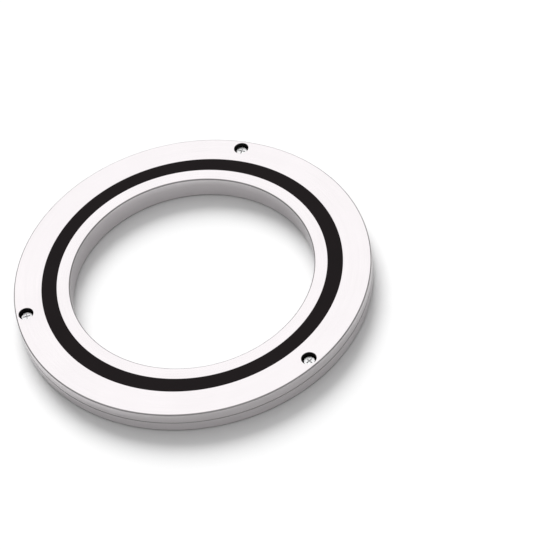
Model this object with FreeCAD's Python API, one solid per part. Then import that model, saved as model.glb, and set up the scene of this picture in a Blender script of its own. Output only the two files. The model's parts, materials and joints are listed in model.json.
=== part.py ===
import FreeCAD, Part
import math
import os

# Slim sealed crossed-roller slewing ring, 130 x 190 x 13 mm.
# The outer ring is split at mid-height into two halves that three recessed screws hold together.
# Rollers in a V-groove lean alternately inwards and outwards, with a resin spacer between each two.
# A stiffened rubber seal closes the gap between the rings on both faces.
# Frame: origin at the centre of the bore at mid-height, +Z along the axis towards the screw heads.
# Units: millimetres and degrees.

Vector = FreeCAD.Vector
ORIGIN = Vector(0, 0, 0)
UP = Vector(0, 0, 1)
ALONG_Y = Vector(0, 1, 0)

# Rings
BORE_DIAMETER = 130.0
OUTER_DIAMETER = 190.0
RING_WIDTH = 13.0
CORNER_RADIUS = 0.8  # outer and bore corners
EDGE_BREAK = 0.15  # small edges beside the seals
SPLIT_CHAMFER = 0.3  # each half, where the two meet on the outside

# Seal pocket
SEAL_INNER_DIAMETER = 144.0
SEAL_OUTER_DIAMETER = 160.0
POCKET_DEPTH = 1.8
BEAD_GROOVE_DEPTH = 0.55
BEAD_GROOVE_WIDTH = 0.6

# Rollers and their groove
ROLLER_COUNT = 48
ROLLER_DIAMETER = 6.0
ROLLER_LENGTH = 5.8
ROLLER_EDGE_RADIUS = 0.3
ROLLER_TILT = 45.0
RACE_CLEARANCE = 0.05
LIP_GAP = 1.0  # between the two rings, above and below the rollers
RELIEF_WIDTH = 1.0  # grinding relief at the root of each V
RELIEF_DEPTH = 0.1  # beyond the point where the V's walls would meet
RELIEF_CORNER_RADIUS = 0.2

# Spacers
SPACER_WALL_GAP = 0.3
SPACER_ROLLER_GAP = 0.12
SPACER_TIP_CUT = 0.5
GREASE_HOLE_DIAMETER = 1.6  # through each spacer, from roller to roller

# Seals
SEAL_RECESS = 0.2  # below the ring's face
SEAL_FLOOR_GAP = 0.25
SEAL_FIT_GAP = 0.02
SEAL_LIP_GAP = 0.04
SEAL_LIP_THICKNESS = 0.3
RUBBER_EDGE_RADIUS = 0.1
STIFFENER_THICKNESS = 0.5
STIFFENER_INNER_DIAMETER = 147.0
STIFFENER_OUTER_DIAMETER = 159.0

# Clamp screws, M3 with a flat round head and a cross recess
SCREW_COUNT = 3
SCREW_CIRCLE_DIAMETER = 179.0
FIRST_SCREW_ANGLE = 90.0
HEAD_SINK = 2.2  # head top below the ring's face
HEAD_DIAMETER = 6.0
HEAD_HEIGHT = 2.0
HEAD_EDGE_RADIUS = 0.35
HEAD_UNDERSIDE_RADIUS = 0.1
COUNTERBORE_DIAMETER = 7.8
CLEARANCE_HOLE_DIAMETER = 3.4
TAPPED_HOLE_DIAMETER = 3.04
HOLE_CHAMFER = 0.3
CUT_MARGIN = 1.0  # how far a cutting tool runs past the face that it opens
THREAD_DIAMETER = 3.0
THREAD_ROOT_DIAMETER = 2.4
THREAD_PITCH = 0.5
THREAD_START = 3.0  # below the head
SCREW_LENGTH = 8.0
SCREW_TIP_CHAMFER = 0.3
RECESS_SPAN = 3.4
RECESS_SLOT_WIDTH = 0.7
RECESS_DEPTH = 1.3
RECESS_ROOT_DIAMETER = 1.0

# Worked out from the sizes above
half_width = RING_WIDTH / 2
bore_radius = BORE_DIAMETER / 2
outer_radius = OUTER_DIAMETER / 2
seal_inner = SEAL_INNER_DIAMETER / 2
seal_outer = SEAL_OUTER_DIAMETER / 2
pitch_radius = (seal_inner + seal_outer) / 2
pocket_floor = half_width - POCKET_DEPTH
groove_reach = (ROLLER_DIAMETER / 2 + RACE_CLEARANCE) * math.sqrt(2)  # centre to where the V's walls meet
relief_half = RELIEF_WIDTH / 2
lip_height = groove_reach - LIP_GAP / 2  # half the groove's opening
lip_outer = pitch_radius + LIP_GAP / 2
lip_inner = pitch_radius - LIP_GAP / 2
pitch_angle = 360.0 / ROLLER_COUNT
seat_height = half_width - HEAD_SINK - HEAD_HEIGHT  # where the screw head bears


def rounded_face(corners):
    """A flat face in the XZ plane from corners (r, z) or (r, z, radius), each rounded by its radius."""
    points = [Vector(c[0], 0, c[1]) for c in corners]
    radii = [c[2] if len(c) > 2 else 0.0 for c in corners]
    arcs = []
    for i, corner in enumerate(points):
        if radii[i] == 0:
            arcs.append((corner, None, corner))
            continue
        back = (points[i - 1] - corner).normalize()
        ahead = (points[(i + 1) % len(points)] - corner).normalize()
        half_angle = back.getAngle(ahead) / 2
        reach = radii[i] / math.tan(half_angle)
        inset = radii[i] / math.sin(half_angle) - radii[i]
        middle = corner + (back + ahead).normalize() * inset
        arcs.append((corner + back * reach, middle, corner + ahead * reach))
    edges = []
    for i, (start, middle, end) in enumerate(arcs):
        if middle is not None:
            edges.append(Part.Arc(start, middle, end).toShape())
        following = arcs[(i + 1) % len(arcs)][0]
        edges.append(Part.LineSegment(end, following).toShape())
    return Part.Face(Part.Wire(edges))


def turned(corners, angle=360.0):
    """A solid of revolution about the axis from a profile's corners."""
    return rounded_face(corners).revolve(ORIGIN, UP, angle)


def hole(radius, low, high, angle):
    """A cylinder parallel to the axis, on the screw circle at this angle."""
    cylinder = Part.makeCylinder(radius, high - low, Vector(SCREW_CIRCLE_DIAMETER / 2, 0, low), UP)
    cylinder.rotate(ORIGIN, UP, angle)
    return cylinder


def bottom_chamfer(radius, angle):
    """A cone that breaks the edge of a hole where it comes out of the lower face."""
    mouth = Vector(SCREW_CIRCLE_DIAMETER / 2, 0, -half_width)
    cone = Part.makeCone(radius + HOLE_CHAMFER, radius, HOLE_CHAMFER, mouth, UP)
    cone.rotate(ORIGIN, UP, angle)
    return cone


def screw_angles():
    return [FIRST_SCREW_ANGLE + 360.0 * i / SCREW_COUNT for i in range(SCREW_COUNT)]


def outer_half_profile():
    """The upper half of the outer ring: V wall, lip, seal pocket with its bead groove, face and rim."""
    apex = pitch_radius + groove_reach
    bead_low = (pocket_floor + half_width - BEAD_GROOVE_WIDTH) / 2
    bead_high = bead_low + BEAD_GROOVE_WIDTH
    return [
        (apex + RELIEF_DEPTH, 0),
        (apex + RELIEF_DEPTH, relief_half, RELIEF_CORNER_RADIUS),
        (apex - relief_half, relief_half),
        (lip_outer, lip_height),
        (lip_outer, pocket_floor, EDGE_BREAK),
        (seal_outer, pocket_floor),
        (seal_outer, bead_low),
        (seal_outer + BEAD_GROOVE_DEPTH, bead_low, RUBBER_EDGE_RADIUS),
        (seal_outer + BEAD_GROOVE_DEPTH, bead_high, RUBBER_EDGE_RADIUS),
        (seal_outer, bead_high),
        (seal_outer, half_width, EDGE_BREAK),
        (outer_radius, half_width, CORNER_RADIUS),
        (outer_radius, SPLIT_CHAMFER),
        (outer_radius - SPLIT_CHAMFER, 0),
    ]


def mirrored(corners):
    """The same profile turned over, for the side away from the screw heads."""
    return [(c[0], -c[1], *c[2:]) for c in corners]


def outer_ring_upper():
    ring = turned(outer_half_profile())
    for angle in screw_angles():
        ring = ring.cut(hole(COUNTERBORE_DIAMETER / 2, seat_height, half_width + CUT_MARGIN, angle))
        ring = ring.cut(hole(CLEARANCE_HOLE_DIAMETER / 2, -CUT_MARGIN, seat_height + CUT_MARGIN, angle))
    return ring


def outer_ring_lower():
    ring = turned(mirrored(outer_half_profile()))
    for angle in screw_angles():
        ring = ring.cut(hole(TAPPED_HOLE_DIAMETER / 2, -half_width - CUT_MARGIN, CUT_MARGIN, angle))
        ring = ring.cut(bottom_chamfer(TAPPED_HOLE_DIAMETER / 2, angle))
    return ring


def inner_ring():
    """One piece: bore, two faces, two seal pockets and the V-groove on the outside."""
    apex = pitch_radius - groove_reach
    upper = [
        (apex - RELIEF_DEPTH, relief_half, RELIEF_CORNER_RADIUS),
        (apex + relief_half, relief_half),
        (lip_inner, lip_height),
        (lip_inner, pocket_floor, EDGE_BREAK),
        (seal_inner, pocket_floor),
        (seal_inner, half_width, EDGE_BREAK),
        (bore_radius, half_width, CORNER_RADIUS),
    ]
    return turned(upper + mirrored(upper)[::-1])


def tilt(index):
    """Even rollers lean inwards going up, odd ones outwards."""
    return -ROLLER_TILT if index % 2 == 0 else ROLLER_TILT


def tilted_cylinder(radius, length, index):
    """A cylinder centred on the pitch circle at this roller's angle, along this roller's axis."""
    cylinder = Part.makeCylinder(radius, length, Vector(0, 0, -length / 2), UP)
    cylinder.rotate(ORIGIN, ALONG_Y, tilt(index))
    cylinder.translate(Vector(pitch_radius, 0, 0))
    cylinder.rotate(ORIGIN, UP, index * pitch_angle)
    return cylinder


def roller(index):
    """A cylinder slightly shorter than its diameter, with rounded ends."""
    blank = tilted_cylinder(ROLLER_DIAMETER / 2, ROLLER_LENGTH, index)
    rims = [edge for edge in blank.Edges if isinstance(edge.Curve, Part.Circle)]
    return blank.makeFillet(ROLLER_EDGE_RADIUS, rims)


def spacer(index):
    """The saddle-shaped block after roller index: a clipped diamond, hollowed on both sides."""
    tip = SPACER_TIP_CUT
    clipped = groove_reach - SPACER_WALL_GAP * math.sqrt(2) - tip
    diamond = [
        (pitch_radius + clipped, -tip),
        (pitch_radius + clipped, tip),
        (pitch_radius + tip, clipped),
        (pitch_radius - tip, clipped),
        (pitch_radius - clipped, tip),
        (pitch_radius - clipped, -tip),
        (pitch_radius - tip, -clipped),
        (pitch_radius + tip, -clipped),
    ]
    block = turned(diamond, pitch_angle)
    block.rotate(ORIGIN, UP, index * pitch_angle)
    saddle_radius = ROLLER_DIAMETER / 2 + SPACER_ROLLER_GAP
    for neighbour in (index, index + 1):
        block = block.cut(tilted_cylinder(saddle_radius, 2 * ROLLER_DIAMETER, neighbour))
    start = Vector(pitch_radius, -ROLLER_DIAMETER, 0)
    grease_hole = Part.makeCylinder(GREASE_HOLE_DIAMETER / 2, 2 * ROLLER_DIAMETER, start, ALONG_Y)
    grease_hole.rotate(ORIGIN, UP, (index + 0.5) * pitch_angle)
    return block.cut(grease_hole)


def seal_levels():
    """Heights of the upper seal's top, underside and stiffener top."""
    underside = pocket_floor + SEAL_FLOOR_GAP
    return half_width - SEAL_RECESS, underside, underside + STIFFENER_THICKNESS


def seal_profile():
    """Rubber: a flat band, a bead that snaps into the outer ring and a lip that rubs on the inner one."""
    top, underside, core_top = seal_levels()
    core_inner = STIFFENER_INNER_DIAMETER / 2
    core_outer = STIFFENER_OUTER_DIAMETER / 2
    rim = seal_outer - SEAL_FIT_GAP
    bead = seal_outer + BEAD_GROOVE_DEPTH - SEAL_FIT_GAP
    bead_middle = (pocket_floor + half_width) / 2
    bead_half = BEAD_GROOVE_WIDTH / 2 - SEAL_FIT_GAP
    lip = seal_inner + SEAL_LIP_GAP
    return [
        (core_inner, underside),
        (core_inner, core_top),
        (core_outer, core_top),
        (core_outer, underside),
        (rim, underside),
        (rim, bead_middle - bead_half),
        (bead, bead_middle - bead_half, RUBBER_EDGE_RADIUS),
        (bead, bead_middle + bead_half, RUBBER_EDGE_RADIUS),
        (rim, bead_middle + bead_half),
        (rim, top, EDGE_BREAK),
        (lip, top, EDGE_BREAK),
        (lip, top - SEAL_LIP_THICKNESS, RUBBER_EDGE_RADIUS),
        (lip + SEAL_LIP_THICKNESS, core_top, RUBBER_EDGE_RADIUS),
        (lip + SEAL_LIP_THICKNESS, underside, RUBBER_EDGE_RADIUS),
    ]


def stiffener_profile():
    """A flat steel washer bonded into the underside of a seal."""
    _, underside, core_top = seal_levels()
    return [
        (STIFFENER_INNER_DIAMETER / 2, underside),
        (STIFFENER_OUTER_DIAMETER / 2, underside),
        (STIFFENER_OUTER_DIAMETER / 2, core_top),
        (STIFFENER_INNER_DIAMETER / 2, core_top),
    ]


def screw_blank():
    """Head, plain shank and a thread of separate V rings, with the head's underside at z = 0."""
    root = THREAD_ROOT_DIAMETER / 2
    crest = THREAD_DIAMETER / 2
    turns = int((SCREW_LENGTH - SCREW_TIP_CHAMFER - THREAD_START) / THREAD_PITCH)
    thread = []
    for turn in range(turns):
        z = -THREAD_START - turn * THREAD_PITCH
        thread += [(root, z), (crest, z - THREAD_PITCH / 2)]
    corners = [
        (0, HEAD_HEIGHT),
        (HEAD_DIAMETER / 2, HEAD_HEIGHT, HEAD_EDGE_RADIUS),
        (HEAD_DIAMETER / 2, 0, HEAD_UNDERSIDE_RADIUS),
        (root, 0),
        *thread,
        (root, -THREAD_START - turns * THREAD_PITCH),
        (root, SCREW_TIP_CHAMFER - SCREW_LENGTH),
        (root - SCREW_TIP_CHAMFER, -SCREW_LENGTH),
        (0, -SCREW_LENGTH),
    ]
    return turned(corners)


def cross_recess():
    """Two crossed slots that narrow towards a cone's tip, sunk from the top of the head."""
    top = HEAD_HEIGHT
    slots = []
    for length, width in ((RECESS_SPAN, RECESS_SLOT_WIDTH), (RECESS_SLOT_WIDTH, RECESS_SPAN)):
        corner = Vector(-length / 2, -width / 2, top - RECESS_DEPTH)
        slots.append(Part.makeBox(length, width, RECESS_DEPTH + CUT_MARGIN, corner))
    root = Vector(0, 0, top - RECESS_DEPTH)
    cone = Part.makeCone(RECESS_ROOT_DIAMETER / 2, RECESS_SPAN / 2, RECESS_DEPTH, root, UP)
    mouth = Part.makeCylinder(RECESS_SPAN / 2, CUT_MARGIN, Vector(0, 0, top), UP)
    return slots[0].fuse(slots[1]).common(cone.fuse(mouth))


def clamp_screws():
    pattern = screw_blank().cut(cross_recess())
    screws = []
    for angle in screw_angles():
        screw = pattern.copy()
        screw.translate(Vector(SCREW_CIRCLE_DIAMETER / 2, 0, seat_height))
        screw.rotate(ORIGIN, UP, angle)
        screws.append(screw)
    return Part.makeCompound(screws)


def save(name, shape):
    shape.exportStep(f"parts/{name}.step")
    print(name, len(shape.Solids), "solid(s)", round(shape.Volume, 1), "mm3, valid", shape.isValid())


def main():
    os.makedirs("parts", exist_ok=True)
    save("outer_ring_upper", outer_ring_upper())
    save("outer_ring_lower", outer_ring_lower())
    save("inner_ring", inner_ring())
    save("clamp_screws", clamp_screws())
    save("seal_upper", turned(seal_profile()))
    save("seal_lower", turned(mirrored(seal_profile())))
    save("seal_stiffener_upper", turned(stiffener_profile()))
    save("seal_stiffener_lower", turned(mirrored(stiffener_profile())))
    save("roller_spacers", Part.makeCompound([spacer(i) for i in range(ROLLER_COUNT)]))
    for i in range(ROLLER_COUNT):
        save(f"roller_{i + 1:02d}", roller(i))


main()
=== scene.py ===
import json
import math

import bmesh
import bpy
from mathutils import Matrix, Vector


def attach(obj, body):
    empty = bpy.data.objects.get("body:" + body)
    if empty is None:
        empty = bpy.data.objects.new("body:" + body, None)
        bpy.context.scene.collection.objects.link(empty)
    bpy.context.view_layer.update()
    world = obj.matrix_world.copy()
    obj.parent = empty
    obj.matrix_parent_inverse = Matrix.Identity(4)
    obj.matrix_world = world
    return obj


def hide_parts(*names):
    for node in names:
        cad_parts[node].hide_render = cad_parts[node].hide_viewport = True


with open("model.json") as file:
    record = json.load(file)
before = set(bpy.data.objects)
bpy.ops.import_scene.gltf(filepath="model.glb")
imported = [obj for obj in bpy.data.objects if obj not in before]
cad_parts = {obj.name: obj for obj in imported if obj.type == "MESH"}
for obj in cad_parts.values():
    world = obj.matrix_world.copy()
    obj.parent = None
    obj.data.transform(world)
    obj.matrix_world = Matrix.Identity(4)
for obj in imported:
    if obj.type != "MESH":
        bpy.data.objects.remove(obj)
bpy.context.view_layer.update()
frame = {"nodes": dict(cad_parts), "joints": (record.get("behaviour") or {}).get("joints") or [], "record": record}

# The bearing's looks, made around its CAD frame: turned rings, seals, screws and rollers with fine edges.
# Metres; the origin is the centre of the bore at mid-width, +Z along the axis towards the screw heads.

MM = 0.001

# Sizes taken from the frame
mounts = {m["name"]: m for m in frame["record"]["mounts"]}
joints = {j["name"]: j for j in frame["joints"]}
outer_radius = mounts["outer_seat"]["dims"]["r_mm"] * MM
bore_radius = mounts["bore"]["dims"]["r_mm"] * MM
half_width = mounts["outer_ring_screw_face"]["pos_m"][2]
pitch_radius = Vector(joints["roller_01_spin"]["pos_m"]).length

# Ring details
CORNER_RADIUS = 0.8 * MM
EDGE_BREAK = 0.15 * MM
FINE_EDGE_RADIUS = 0.1 * MM
SPLIT_CHAMFER = 0.3 * MM
SEAL_INNER_RADIUS = 72.0 * MM
SEAL_OUTER_RADIUS = 80.0 * MM
POCKET_DEPTH = 1.8 * MM
BEAD_GROOVE_DEPTH = 0.55 * MM
BEAD_GROOVE_WIDTH = 0.6 * MM
GROOVE_RELIEF = 0.5 * MM
RELIEF_DEPTH = 0.1 * MM
LIP_HALF_GAP = 0.5 * MM

# Seal details
SEAL_RECESS = 0.2 * MM
SEAL_FLOOR_GAP = 0.25 * MM
SEAL_FIT_GAP = 0.02 * MM
SEAL_LIP_GAP = 0.04 * MM
SEAL_LIP_THICKNESS = 0.3 * MM
STIFFENER_THICKNESS = 0.5 * MM
STIFFENER_INNER_RADIUS = 73.5 * MM
STIFFENER_OUTER_RADIUS = 79.5 * MM

# Screw details
SCREW_ANGLES = (90.0, 210.0, 330.0)
SCREW_CIRCLE_RADIUS = 89.5 * MM
COUNTERBORE_RADIUS = 3.9 * MM
COUNTERBORE_EDGE = 0.12 * MM
CLEARANCE_HOLE_RADIUS = 1.7 * MM
TAPPED_HOLE_RADIUS = 1.52 * MM
TAPPED_HOLE_EDGE = 0.3 * MM
HEAD_SINK = 2.2 * MM
HEAD_RADIUS = 3.0 * MM
HEAD_HEIGHT = 2.0 * MM
HEAD_EDGE_RADIUS = 0.35 * MM
THREAD_RADIUS = 1.5 * MM
THREAD_ROOT_RADIUS = 1.2 * MM
THREAD_PITCH = 0.5 * MM
THREAD_START = 3.0 * MM
SCREW_LENGTH = 8.0 * MM
SCREW_TIP_CHAMFER = 0.3 * MM
RECESS_SPAN = 3.8 * MM
RECESS_WIDTH = 0.7 * MM
RECESS_DEPTH = 1.3 * MM
RECESS_FLOOR_SPAN = 1.4 * RECESS_WIDTH
RECESS_FLOOR_WIDTH = 0.7 * RECESS_WIDTH
CUTTER_OVERLAP = 1.0 * MM  # how far a cutter reaches past what it cuts

# Roller details
ROLLER_RADIUS = 3.0 * MM
ROLLER_LENGTH = 5.8 * MM
ROLLER_EDGE_RADIUS = 0.3 * MM
RACEWAY_GAP = 0.05 * MM

# Finishes
LINE_DRIFT = 6.0  # how fast the fine lines change round the axis
BAND_DRIFT = 1.5
BANDS_PER_METRE = 900.0  # tool marks that show as faint rings
METAL_CLOUDS_PER_METRE = 45.0
LINE_SHARE = 0.4
BROAD_SHARE = 0.3
ROUGHEST = 1.25  # times a metal's roughness, where its colour is dark
GLOSSIEST = 0.8
GRAIN_CLOUDS_PER_METRE = 60.0
GRAIN_GLOSS_CHANGE = 0.1
NOISE_LOW = 0.3  # the range that most of a noise's values lie in
NOISE_HIGH = 0.7
NEAREST_TO_AXIS = 1e-5  # keeps a division by the radius finite
GROUND_SLOPE = math.cos(math.radians(30))  # a corner facet flatter than this belongs to the ground face

# Mesh fineness
RING_STEPS = 480
HOLE_STEPS = 96
SCREW_STEPS = 72
ROLLER_STEPS = 64
ARC_STEPS = 6
SHARP_ANGLE = math.radians(28)
MERGE_DISTANCE = 1e-7
SHORTEST_EDGE = 1e-8
FLAT_FACE_WEIGHT = 80

# Places of the materials in a ring's list
CORNER_SLOT = 1
JOINT_SLOT = 2
HOLE_SLOT = 3

# Heights and reaches that follow from the above
pocket_floor = half_width - POCKET_DEPTH
seat_height = half_width - HEAD_SINK - HEAD_HEIGHT
groove_reach = (ROLLER_RADIUS + RACEWAY_GAP) * math.sqrt(2)  # from the pitch circle to the V's apex


# Shapes


def rounded(corners):
    """Profile points from corners (r, z) or (r, z, radius), each radius drawn as a short arc."""
    points = []
    for i, corner in enumerate(corners):
        here = Vector(corner[:2])
        if len(corner) == 2:
            points.append(here)
            continue
        back = (Vector(corners[i - 1][:2]) - here).normalized()
        ahead = (Vector(corners[(i + 1) % len(corners)][:2]) - here).normalized()
        half = back.angle(ahead) / 2
        centre = here + (back + ahead).normalized() * corner[2] / math.sin(half)
        first = here + back * corner[2] / math.tan(half) - centre
        last = here + ahead * corner[2] / math.tan(half) - centre
        sweep = math.pi - 2 * half
        for step in range(ARC_STEPS + 1):
            t = step / ARC_STEPS
            weights = math.sin((1 - t) * sweep), math.sin(t * sweep)
            points.append(centre + (first * weights[0] + last * weights[1]) / math.sin(sweep))
    return points


def mesh_object(name, vertices, faces):
    """A new object in the scene from points and faces."""
    mesh = bpy.data.meshes.new(name)
    mesh.from_pydata(vertices, [], faces)
    piece = bpy.data.objects.new(name, mesh)
    bpy.context.scene.collection.objects.link(piece)
    return piece


def clean(piece):
    """Merges doubled points, points the faces outwards, and shades smooth but for sharp edges."""
    shape = bmesh.new()
    shape.from_mesh(piece.data)
    bmesh.ops.remove_doubles(shape, verts=shape.verts, dist=MERGE_DISTANCE)
    bmesh.ops.dissolve_degenerate(shape, edges=shape.edges, dist=SHORTEST_EDGE)
    bmesh.ops.recalc_face_normals(shape, faces=shape.faces)
    for face in shape.faces:
        face.smooth = True
    for edge in shape.edges:
        edge.smooth = edge.is_manifold and edge.calc_face_angle() < SHARP_ANGLE
    shape.to_mesh(piece.data)
    shape.free()


def even_normals(piece):
    """Large flat faces keep their own normal beside a small rounded edge."""
    step = piece.modifiers.new("even_normals", "WEIGHTED_NORMAL")
    step.keep_sharp = True
    step.weight = FLAT_FACE_WEIGHT


def turned(name, corners, steps=RING_STEPS):
    """A solid of revolution about +Z from a closed profile."""
    profile = rounded(corners)
    count = len(profile)
    vertices = []
    for step in range(steps):
        angle = 2 * math.pi * step / steps
        vertices += [(r * math.cos(angle), r * math.sin(angle), z) for r, z in profile]
    faces = []
    for step in range(steps):
        ahead = (step + 1) % steps
        for i in range(count):
            j = (i + 1) % count
            faces.append((step * count + i, step * count + j, ahead * count + j, ahead * count + i))
    piece = mesh_object(name, vertices, faces)
    clean(piece)
    return piece


def cut(piece, tools):
    """Subtracts the tools from the piece one by one, and removes them."""
    for tool in tools:
        step = piece.modifiers.new("cut", "BOOLEAN")
        step.operation = "DIFFERENCE"
        step.solver = "EXACT"
        step.object = tool
        view = bpy.context.evaluated_depsgraph_get()
        cut_mesh = bpy.data.meshes.new_from_object(piece.evaluated_get(view))
        piece.modifiers.clear()
        piece.data = cut_mesh
        bpy.data.objects.remove(tool)
        clean(piece)


def screw_place(angle, height=0.0):
    """The place of a screw on its circle, turned with it."""
    turn = Matrix.Rotation(math.radians(angle), 4, "Z")
    return turn @ Matrix.Translation((SCREW_CIRCLE_RADIUS, 0, height))


def drill(radius, start, end):
    """A plain round cutter."""
    return turned("cutter", [(0, start), (radius, start), (radius, end), (0, end)], HOLE_STEPS)


def mouthed_drill(radius, bottom, face, edge):
    """A round cutter through a face, with a 45 degree cone that breaks the edge of the hole's mouth."""
    past = math.copysign(edge, face - bottom)
    return turned("cutter", [
        (0, bottom),
        (radius, bottom),
        (radius, face - past),
        (radius + 2 * edge, face + past),
        (0, face + past),
    ], HOLE_STEPS)


def at_each_screw(cutter, *sizes):
    """One cutter of a kind and size at each screw."""
    tools = []
    for angle in SCREW_ANGLES:
        tool = cutter(*sizes)
        tool.data.transform(screw_place(angle))
        tools.append(tool)
    return tools


def mirrored(corners):
    """The same profile on the other side of mid-width."""
    return [(c[0], -c[1], *c[2:]) for c in corners]


# Materials


def math_node(tree, operation, *values):
    """A Math node's result, from sockets or numbers."""
    node = tree.nodes.new("ShaderNodeMath")
    node.operation = operation
    for socket, value in zip(node.inputs, values):
        if isinstance(value, (int, float)):
            socket.default_value = value
        else:
            tree.links.new(value, socket)
    return node.outputs[0]


def map_range(tree, value, low, high, new_low, new_high, interpolation="LINEAR"):
    """Maps the range low to high of a value to new_low to new_high, and holds it there."""
    node = tree.nodes.new("ShaderNodeMapRange")
    node.interpolation_type = interpolation
    for name, number in (("From Min", low), ("From Max", high), ("To Min", new_low), ("To Max", new_high)):
        node.inputs[name].default_value = number
    tree.links.new(value, node.inputs["Value"])
    return node.outputs["Result"]


def spread(tree, value, low, high):
    """Maps a noise's usual range to low and high."""
    return map_range(tree, value, NOISE_LOW, NOISE_HIGH, low, high)


def noise(tree, vector, scale, detail, roughness=0.5):
    """A Noise Texture's value, about 0.5 on average."""
    node = tree.nodes.new("ShaderNodeTexNoise")
    node.inputs["Scale"].default_value = scale
    node.inputs["Detail"].default_value = detail
    node.inputs["Roughness"].default_value = roughness
    tree.links.new(vector, node.inputs["Vector"])
    return node.outputs["Fac"]


def object_vector(tree):
    """The object's own coordinates, in metres."""
    return tree.nodes.new("ShaderNodeTexCoord").outputs["Object"]


def lathe_vector(tree, around, across):
    """A coordinate that changes slowly round the axis and fast across it, so noise runs in fine circles."""
    split = tree.nodes.new("ShaderNodeSeparateXYZ")
    tree.links.new(object_vector(tree), split.inputs[0])
    x, y, z = split.outputs
    squares = math_node(tree, "ADD", math_node(tree, "MULTIPLY", x, x), math_node(tree, "MULTIPLY", y, y))
    radius = math_node(tree, "SQRT", squares)
    divisor = math_node(tree, "MAXIMUM", radius, NEAREST_TO_AXIS)
    coordinates = (
        math_node(tree, "MULTIPLY", math_node(tree, "DIVIDE", x, divisor), around),
        math_node(tree, "MULTIPLY", math_node(tree, "DIVIDE", y, divisor), around),
        math_node(tree, "MULTIPLY", math_node(tree, "ADD", radius, z), across),
    )
    join = tree.nodes.new("ShaderNodeCombineXYZ")
    for socket, coordinate in zip(join.inputs, coordinates):
        tree.links.new(coordinate, socket)
    return join.outputs[0]


def material(name):
    """A new material, its tree and its Principled shader."""
    made = bpy.data.materials.new(name)
    made.use_nodes = True
    return made, made.node_tree, made.node_tree.nodes["Principled BSDF"]


def colour_between(tree, shader, share, first, second):
    """Mixes two colours by a noise value, for the shader's base colour."""
    node = tree.nodes.new("ShaderNodeMix")
    node.data_type = "RGBA"
    tree.links.new(spread(tree, share, 0.0, 1.0), node.inputs["Factor"])
    first_colour, second_colour = [socket for socket in node.inputs if socket.type == "RGBA"]
    first_colour.default_value = (*first, 1.0)
    second_colour.default_value = (*second, 1.0)
    mixed = [socket for socket in node.outputs if socket.type == "RGBA"][0]
    tree.links.new(mixed, shader.inputs["Base Color"])


def bump(tree, shader, height, depth):
    """Tilts the surface by a height from 0 to 1, depth metres at most."""
    node = tree.nodes.new("ShaderNodeBump")
    node.inputs["Strength"].default_value = 1.0
    node.inputs["Distance"].default_value = depth
    tree.links.new(height, node.inputs["Height"])
    tree.links.new(node.outputs["Normal"], shader.inputs["Normal"])


def turned_metal(name, light, dark, roughness, lines_per_metre, depth):
    """Bright metal with fine circular machining lines, slight clouding and uneven gloss."""
    made, tree, shader = material(name)
    shader.inputs["Metallic"].default_value = 1.0
    lines = noise(tree, lathe_vector(tree, LINE_DRIFT, lines_per_metre), 1.0, detail=4.0, roughness=0.6)
    bands = noise(tree, lathe_vector(tree, BAND_DRIFT, BANDS_PER_METRE), 1.0, detail=3.0, roughness=0.6)
    clouds = noise(tree, object_vector(tree), METAL_CLOUDS_PER_METRE, detail=2.0)
    broad = math_node(tree, "MULTIPLY", math_node(tree, "ADD", bands, clouds), BROAD_SHARE)
    share = math_node(tree, "ADD", math_node(tree, "MULTIPLY", lines, LINE_SHARE), broad)
    colour_between(tree, shader, share, dark, light)
    gloss = spread(tree, share, roughness * ROUGHEST, roughness * GLOSSIEST)
    tree.links.new(gloss, shader.inputs["Roughness"])
    bump(tree, shader, lines, depth)
    return made


def grainy(name, first, second, roughness, grain_per_metre, depth, specular=0.5):
    """A moulded surface, or the near-black painted shade in the holes: fine grain, soft colour changes."""
    made, tree, shader = material(name)
    shader.inputs["Specular IOR Level"].default_value = specular
    place = object_vector(tree)
    fine = noise(tree, place, grain_per_metre, detail=3.0, roughness=0.6)
    broad = noise(tree, place, GRAIN_CLOUDS_PER_METRE, detail=2.0)
    share = math_node(tree, "MULTIPLY", math_node(tree, "ADD", fine, broad), 0.5)
    colour_between(tree, shader, share, first, second)
    change = roughness * GRAIN_GLOSS_CHANGE
    tree.links.new(spread(tree, fine, roughness - change, roughness + change), shader.inputs["Roughness"])
    bump(tree, shader, fine, depth)
    return made


ring_steel = turned_metal(
    "ground_ring_steel", (0.824, 0.790, 0.803), (0.764, 0.730, 0.743),
    roughness=0.13, lines_per_metre=9000.0, depth=1.5e-6)
roller_steel = turned_metal(
    "superfinished_steel", (0.66, 0.66, 0.66), (0.62, 0.62, 0.625),
    roughness=0.08, lines_per_metre=14000.0, depth=5e-7)
screw_steel = turned_metal(
    "plated_screw_steel", (0.93, 0.93, 0.93), (0.88, 0.88, 0.89),
    roughness=0.34, lines_per_metre=6000.0, depth=2e-6)
# rougher steel whose dark colour paints the dark reflection along the rounded corners
dark_edge_steel = turned_metal(
    "unground_corner_steel", (0.40, 0.385, 0.39), (0.34, 0.325, 0.33),
    roughness=0.34, lines_per_metre=5000.0, depth=2e-6)
# darker steel at the split line: painted shade in the groove between the halves
groove_shade_steel = turned_metal(
    "oily_joint_steel", (0.34, 0.33, 0.33), (0.26, 0.25, 0.25),
    roughness=0.40, lines_per_metre=9000.0, depth=1.5e-6)
sheet_steel = turned_metal(
    "cold_rolled_steel", (0.42, 0.42, 0.43), (0.36, 0.36, 0.37),
    roughness=0.34, lines_per_metre=2500.0, depth=3e-6)
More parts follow.
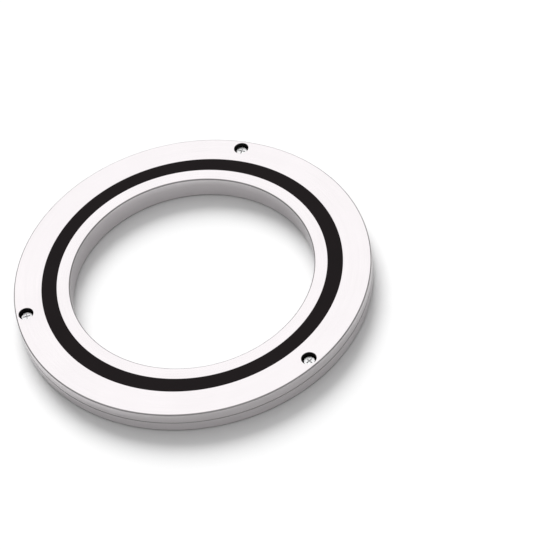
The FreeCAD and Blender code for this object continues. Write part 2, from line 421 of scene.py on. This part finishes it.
# near-black steel in the holes: painted shade where the counterbores are deep and dark
hole_shade_black = grainy(
    "blackened_hole_steel", (0.012, 0.012, 0.012), (0.02, 0.019, 0.019),
    roughness=0.5, grain_per_metre=4000.0, depth=3e-6, specular=0.1)
rubber = grainy(
    "seal_rubber", (0.0096, 0.0076, 0.0082), (0.0124, 0.0096, 0.0102),
    roughness=0.7, grain_per_metre=3500.0, depth=6e-6, specular=0.08)
resin = grainy(
    "spacer_resin", (0.72, 0.68, 0.56), (0.80, 0.77, 0.68),
    roughness=0.45, grain_per_metre=1800.0, depth=5e-6)


# Pieces


def dress(piece, body, slot, *materials):
    """Gives a piece its materials and its body. The slot is not used."""
    for each in materials:
        piece.data.materials.append(each)
    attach(piece, body)


def outer_half_profile():
    """Upper half of the outer ring: V wall, lip, seal pocket with its bead groove, face and rim."""
    apex = pitch_radius + groove_reach
    bead_low = (pocket_floor + half_width - BEAD_GROOVE_WIDTH) / 2
    bead_high = bead_low + BEAD_GROOVE_WIDTH
    bead_reach = SEAL_OUTER_RADIUS + BEAD_GROOVE_DEPTH
    return [
        (apex + RELIEF_DEPTH, 0),
        (apex + RELIEF_DEPTH, GROOVE_RELIEF),
        (apex - GROOVE_RELIEF, GROOVE_RELIEF),
        (pitch_radius + LIP_HALF_GAP, groove_reach - LIP_HALF_GAP),
        (pitch_radius + LIP_HALF_GAP, pocket_floor, EDGE_BREAK),
        (SEAL_OUTER_RADIUS, pocket_floor),
        (SEAL_OUTER_RADIUS, bead_low),
        (bead_reach, bead_low, FINE_EDGE_RADIUS),
        (bead_reach, bead_high, FINE_EDGE_RADIUS),
        (SEAL_OUTER_RADIUS, bead_high),
        (SEAL_OUTER_RADIUS, half_width, EDGE_BREAK),
        (outer_radius, half_width, CORNER_RADIUS),
        (outer_radius, SPLIT_CHAMFER),
        (outer_radius - SPLIT_CHAMFER, 0),
    ]


def paint_dark_corners(ring, near_radius):
    """The rounded corners get a rougher, darker steel; the darker colour is a painted dark reflection, a thin dark
    line along the edges.
    """
    for face in ring.data.polygons:
        near = abs(face.center.xy.length - near_radius) < CORNER_RADIUS
        high = abs(face.center.z) > half_width - CORNER_RADIUS
        if near and high and abs(face.normal.z) < GROUND_SLOPE:
            face.material_index = CORNER_SLOT


def paint_groove_shade(ring):
    """Paints the small chamfers where the halves meet darker: painted shade in the groove between the halves."""
    for face in ring.data.polygons:
        outside = face.center.xy.length > outer_radius - SPLIT_CHAMFER
        if outside and abs(face.center.z) < SPLIT_CHAMFER:
            face.material_index = JOINT_SLOT


def paint_hole_shade(ring):
    """Paints the counterbores and the holes below them black as painted shade, but not the broken edge at the
    ring's face.
    """
    for angle in SCREW_ANGLES:
        axis = screw_place(angle).translation.xy
        for face in ring.data.polygons:
            in_hole = (face.center.xy - axis).length < COUNTERBORE_RADIUS
            if in_hole and face.center.z < half_width - COUNTERBORE_EDGE:
                face.material_index = HOLE_SLOT


def make_outer_ring_upper():
    ring = turned("outer_ring_upper_finished", outer_half_profile())
    counterbores = at_each_screw(
        mouthed_drill, COUNTERBORE_RADIUS, seat_height, half_width, COUNTERBORE_EDGE)
    clearance_holes = at_each_screw(
        drill, CLEARANCE_HOLE_RADIUS, -CUTTER_OVERLAP, seat_height + CUTTER_OVERLAP)
    cut(ring, counterbores + clearance_holes)
    dress(ring, "outer_ring", "ground_steel", ring_steel, dark_edge_steel, groove_shade_steel, hole_shade_black)
    paint_dark_corners(ring, outer_radius)
    paint_groove_shade(ring)
    paint_hole_shade(ring)
    even_normals(ring)
    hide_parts("outer_ring_upper")


def make_outer_ring_lower():
    ring = turned("outer_ring_lower_finished", mirrored(outer_half_profile()))
    tapped_holes = at_each_screw(
        mouthed_drill, TAPPED_HOLE_RADIUS, CUTTER_OVERLAP, -half_width, TAPPED_HOLE_EDGE)
    cut(ring, tapped_holes)
    dress(ring, "outer_ring", "ground_steel", ring_steel, dark_edge_steel, groove_shade_steel)
    paint_dark_corners(ring, outer_radius)
    paint_groove_shade(ring)
    even_normals(ring)
    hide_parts("outer_ring_lower")


def make_inner_ring():
    """A closed profile from its upper half: V wall, lip, step beside the seal, face and bore."""
    apex = pitch_radius - groove_reach
    upper = [
        (apex - RELIEF_DEPTH, GROOVE_RELIEF),
        (apex + GROOVE_RELIEF, GROOVE_RELIEF),
        (pitch_radius - LIP_HALF_GAP, groove_reach - LIP_HALF_GAP),
        (pitch_radius - LIP_HALF_GAP, pocket_floor, EDGE_BREAK),
        (SEAL_INNER_RADIUS, pocket_floor),
        (SEAL_INNER_RADIUS, half_width, EDGE_BREAK),
        (bore_radius, half_width, CORNER_RADIUS),
    ]
    ring = turned("inner_ring_finished", upper + mirrored(upper)[::-1])
    dress(ring, "inner_ring", "ground_steel", ring_steel, dark_edge_steel)
    paint_dark_corners(ring, bore_radius)
    even_normals(ring)
    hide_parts("inner_ring")


def seal_profile():
    """A flat band with a bead in the outer ring's groove, a lip on the inner ring and a channel below."""
    top = half_width - SEAL_RECESS
    underside = pocket_floor + SEAL_FLOOR_GAP
    core_top = underside + STIFFENER_THICKNESS
    rim = SEAL_OUTER_RADIUS - SEAL_FIT_GAP
    bead = rim + BEAD_GROOVE_DEPTH
    bead_middle = (pocket_floor + half_width) / 2
    bead_half = BEAD_GROOVE_WIDTH / 2 - SEAL_FIT_GAP
    lip = SEAL_INNER_RADIUS + SEAL_LIP_GAP
    return [
        (STIFFENER_INNER_RADIUS, underside),
        (STIFFENER_INNER_RADIUS, core_top),
        (STIFFENER_OUTER_RADIUS, core_top),
        (STIFFENER_OUTER_RADIUS, underside),
        (rim, underside),
        (rim, bead_middle - bead_half),
        (bead, bead_middle - bead_half, FINE_EDGE_RADIUS),
        (bead, bead_middle + bead_half, FINE_EDGE_RADIUS),
        (rim, bead_middle + bead_half),
        (rim, top, EDGE_BREAK),
        (lip, top, EDGE_BREAK),
        (lip, top - SEAL_LIP_THICKNESS, FINE_EDGE_RADIUS),
        (lip + SEAL_LIP_THICKNESS, core_top, FINE_EDGE_RADIUS),
        (lip + SEAL_LIP_THICKNESS, underside, FINE_EDGE_RADIUS),
    ]


def stiffener_profile():
    """A flat steel washer that fills the seal's channel."""
    underside = pocket_floor + SEAL_FLOOR_GAP
    core_top = underside + STIFFENER_THICKNESS
    return [
        (STIFFENER_INNER_RADIUS, underside),
        (STIFFENER_OUTER_RADIUS, underside),
        (STIFFENER_OUTER_RADIUS, core_top),
        (STIFFENER_INNER_RADIUS, core_top),
    ]


def make_seals():
    for side, flip in (("upper", list), ("lower", mirrored)):
        seal = turned(f"seal_{side}_moulded", flip(seal_profile()))
        dress(seal, "outer_ring", "seal_rubber", rubber)
        even_normals(seal)
        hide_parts(f"seal_{side}")
        washer = turned(f"seal_stiffener_{side}_pressed", flip(stiffener_profile()))
        dress(washer, "outer_ring", "pressed_steel", sheet_steel)
        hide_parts(f"seal_stiffener_{side}")


def screw_profile():
    """Head, plain shank, V rings for the thread, and tip, with the head's underside at z = 0."""
    turns = int((SCREW_LENGTH - SCREW_TIP_CHAMFER - THREAD_START) / THREAD_PITCH)
    thread = []
    for turn in range(turns):
        z = -THREAD_START - turn * THREAD_PITCH
        thread += [(THREAD_ROOT_RADIUS, z), (THREAD_RADIUS, z - THREAD_PITCH / 2)]
    return [
        (0, HEAD_HEIGHT),
        (HEAD_RADIUS, HEAD_HEIGHT, HEAD_EDGE_RADIUS),
        (HEAD_RADIUS, 0, FINE_EDGE_RADIUS),
        (THREAD_ROOT_RADIUS, 0),
        *thread,
        (THREAD_ROOT_RADIUS, -THREAD_START - turns * THREAD_PITCH),
        (THREAD_ROOT_RADIUS, SCREW_TIP_CHAMFER - SCREW_LENGTH),
        (THREAD_ROOT_RADIUS - SCREW_TIP_CHAMFER, -SCREW_LENGTH),
        (0, -SCREW_LENGTH),
    ]


def cross_tool():
    """A tapered cross that cuts the screw's drive recess."""
    vertices = []
    for z, span, width in (
        (HEAD_HEIGHT - RECESS_DEPTH, RECESS_FLOOR_SPAN, RECESS_FLOOR_WIDTH),
        (HEAD_HEIGHT, RECESS_SPAN, RECESS_WIDTH),
        (HEAD_HEIGHT + CUTTER_OVERLAP, RECESS_SPAN + 2 * CUTTER_OVERLAP, RECESS_WIDTH),
    ):
        tip, side = span / 2, width / 2
        for quarter in range(4):
            turn = Matrix.Rotation(math.pi / 2 * quarter, 2)
            for corner in ((side, side), (side, tip), (-side, tip)):
                x, y = turn @ Vector(corner)
                vertices.append((x, y, z))
    count = len(vertices) // 3
    faces = [tuple(range(count)), tuple(range(2 * count, 3 * count))]
    for level in range(2):
        for i in range(count):
            j = (i + 1) % count
            low, high = level * count, (level + 1) * count
            faces.append((low + i, low + j, high + j, high + i))
    tool = mesh_object("cutter", vertices, faces)
    clean(tool)
    return tool


def make_screws():
    for number, angle in enumerate(SCREW_ANGLES, 1):
        screw = turned(f"clamp_screw_{number}", screw_profile(), SCREW_STEPS)
        cut(screw, [cross_tool()])
        dress(screw, "outer_ring", "plated_screw", screw_steel)
        screw.matrix_world = screw_place(angle, seat_height)
        even_normals(screw)
        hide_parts("clamp_screws")


def make_rollers():
    """One roller on each roller's hinge, along the hinge's own leaning axis."""
    end = ROLLER_LENGTH / 2
    pattern = turned("roller_pattern", [
        (0, end),
        (ROLLER_RADIUS, end, ROLLER_EDGE_RADIUS),
        (ROLLER_RADIUS, -end, ROLLER_EDGE_RADIUS),
        (0, -end),
    ], ROLLER_STEPS)
    pattern.data.materials.append(roller_steel)
    for joint in joints.values():
        if not joint["name"].startswith("roller_"):
            continue
        piece = bpy.data.objects.new("crossed_" + joint["child"], pattern.data)
        bpy.context.scene.collection.objects.link(piece)
        lean = Vector(joint["axis"]).to_track_quat("Z", "Y").to_matrix().to_4x4()
        piece.matrix_world = Matrix.Translation(joint["pos_m"]) @ lean
        even_normals(piece)
        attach(piece, joint["child"])
        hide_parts(joint["child"])
    bpy.data.objects.remove(pattern)


def dress_spacers():
    """The CAD spacers are fine as they are, and only get their resin."""
    spacers = frame["nodes"]["roller_spacers"]
    spacers.data.materials.clear()
    spacers.data.materials.append(resin)


make_outer_ring_upper()
make_outer_ring_lower()
make_inner_ring()
make_seals()
make_screws()
make_rollers()
dress_spacers()


# Studio

CAMERA_TURN = math.radians(24.8)
CAMERA_ELEVATION = math.radians(48.9)
CAMERA_ROLL = math.radians(-10.82)
CAMERA_DISTANCE = 1.1746
CAMERA_LENS = 147.4
AIM_RIGHT = 0.0427
AIM_NEAR = 0.0142

FLOOR_HALF = 40.0
FLOOR_GAP = 0.02 * MM
HORIZON_STRENGTH = 0.16
DOME_STRENGTH = 0.32
DOME_START = math.sin(math.radians(24))
DOME_FULL = math.sin(math.radians(44))
DOME_FRONT_DROP = 0.4
GLOW_STRENGTH = 0.74
GLOW_ELEVATION = math.radians(50)
GLOW_INNER_ANGLE = math.radians(16)
GLOW_OUTER_ANGLE = math.radians(42)
KEY_TURN = math.radians(-7)
KEY_ELEVATION = math.radians(38)
KEY_SPREAD = math.radians(36)
KEY_STRENGTH = 3.1

# The view's own directions
right = Vector((math.cos(CAMERA_TURN), math.sin(CAMERA_TURN), 0))
away = Vector((-math.sin(CAMERA_TURN), math.cos(CAMERA_TURN), 0))
up = Vector((0, 0, 1))


def make_camera():
    """The photograph's view. The bearing lies flat here, so the camera's roll takes up its tilt."""
    aim = up * half_width + right * AIM_RIGHT - away * AIM_NEAR
    forward = away * math.cos(CAMERA_ELEVATION) - up * math.sin(CAMERA_ELEVATION)
    camera = bpy.data.objects.new("camera", bpy.data.cameras.new("camera"))
    bpy.context.scene.collection.objects.link(camera)
    camera.data.lens = CAMERA_LENS
    camera.data.clip_start = 0.05
    camera.data.clip_end = 50
    level = forward.to_track_quat("-Z", "Y").to_matrix().to_4x4()
    roll = Matrix.Rotation(CAMERA_ROLL, 4, "Z")
    camera.matrix_world = Matrix.Translation(aim - forward * CAMERA_DISTANCE) @ level @ roll
    bpy.context.scene.camera = camera


def make_floor():
    """A plain pale floor just below the bearing."""
    z = -half_width - FLOOR_GAP
    corners = [(x * FLOOR_HALF, y * FLOOR_HALF, z) for x, y in ((-1, -1), (1, -1), (1, 1), (-1, 1))]
    floor = mesh_object("studio_floor", corners, [(0, 1, 2, 3)])
    paper, _, shader = material("studio_floor_paper")
    shader.inputs["Base Color"].default_value = (0.9, 0.9, 0.9, 1)
    shader.inputs["Roughness"].default_value = 0.9
    shader.inputs["Specular IOR Level"].default_value = 0.1
    floor.data.materials.append(paper)


def toward(elevation, turn=0.0):
    """The direction to a place in the sky behind the bearing, raised and turned to the camera's right."""
    level = away * math.cos(turn) + right * math.sin(turn)
    return level * math.cos(elevation) + up * math.sin(elevation)


def along(tree, direction, axis):
    """How far a direction points along an axis."""
    node = tree.nodes.new("ShaderNodeVectorMath")
    node.operation = "DOT_PRODUCT"
    tree.links.new(direction, node.inputs[0])
    node.inputs[1].default_value = axis
    return node.outputs["Value"]


def make_sky():
    """A dim horizon, a soft dome, lower on the camera's side, and a broad glow behind the bearing."""
    world = bpy.data.worlds.new("studio")
    bpy.context.scene.world = world
    world.use_nodes = True
    tree = world.node_tree
    direction = tree.nodes.new("ShaderNodeTexCoord").outputs["Generated"]
    camera_side = math_node(tree, "MINIMUM", along(tree, direction, away), 0.0)
    drop = math_node(tree, "MULTIPLY", camera_side, DOME_FRONT_DROP)
    height = math_node(tree, "SUBTRACT", along(tree, direction, up), drop)
    dome = map_range(tree, height, DOME_START, DOME_FULL, 0.0, DOME_STRENGTH, "SMOOTHSTEP")
    facing = along(tree, direction, toward(GLOW_ELEVATION))
    outer, inner = math.cos(GLOW_OUTER_ANGLE), math.cos(GLOW_INNER_ANGLE)
    glow = map_range(tree, facing, outer, inner, 0.0, GLOW_STRENGTH, "SMOOTHSTEP")
    strength = math_node(tree, "ADD", math_node(tree, "ADD", dome, glow), HORIZON_STRENGTH)
    background = tree.nodes["Background"]
    tree.links.new(strength, background.inputs["Strength"])
    background.inputs["Color"].default_value = (1, 1, 1, 1)


def make_key_light():
    """A broad sun from behind, which casts the soft shadow and isn't mirrored in the steel."""
    light = bpy.data.lights.new("key_light", "SUN")
    light.angle = KEY_SPREAD
    light.energy = KEY_STRENGTH
    lamp = bpy.data.objects.new("key_light", light)
    bpy.context.scene.collection.objects.link(lamp)
    shining = -toward(KEY_ELEVATION, KEY_TURN)
    lamp.matrix_world = shining.to_track_quat("-Z", "Y").to_matrix().to_4x4()
    lamp.visible_glossy = False


make_camera()
make_floor()
make_sky()
make_key_light()
bpy.context.scene.view_settings.view_transform = "Standard"
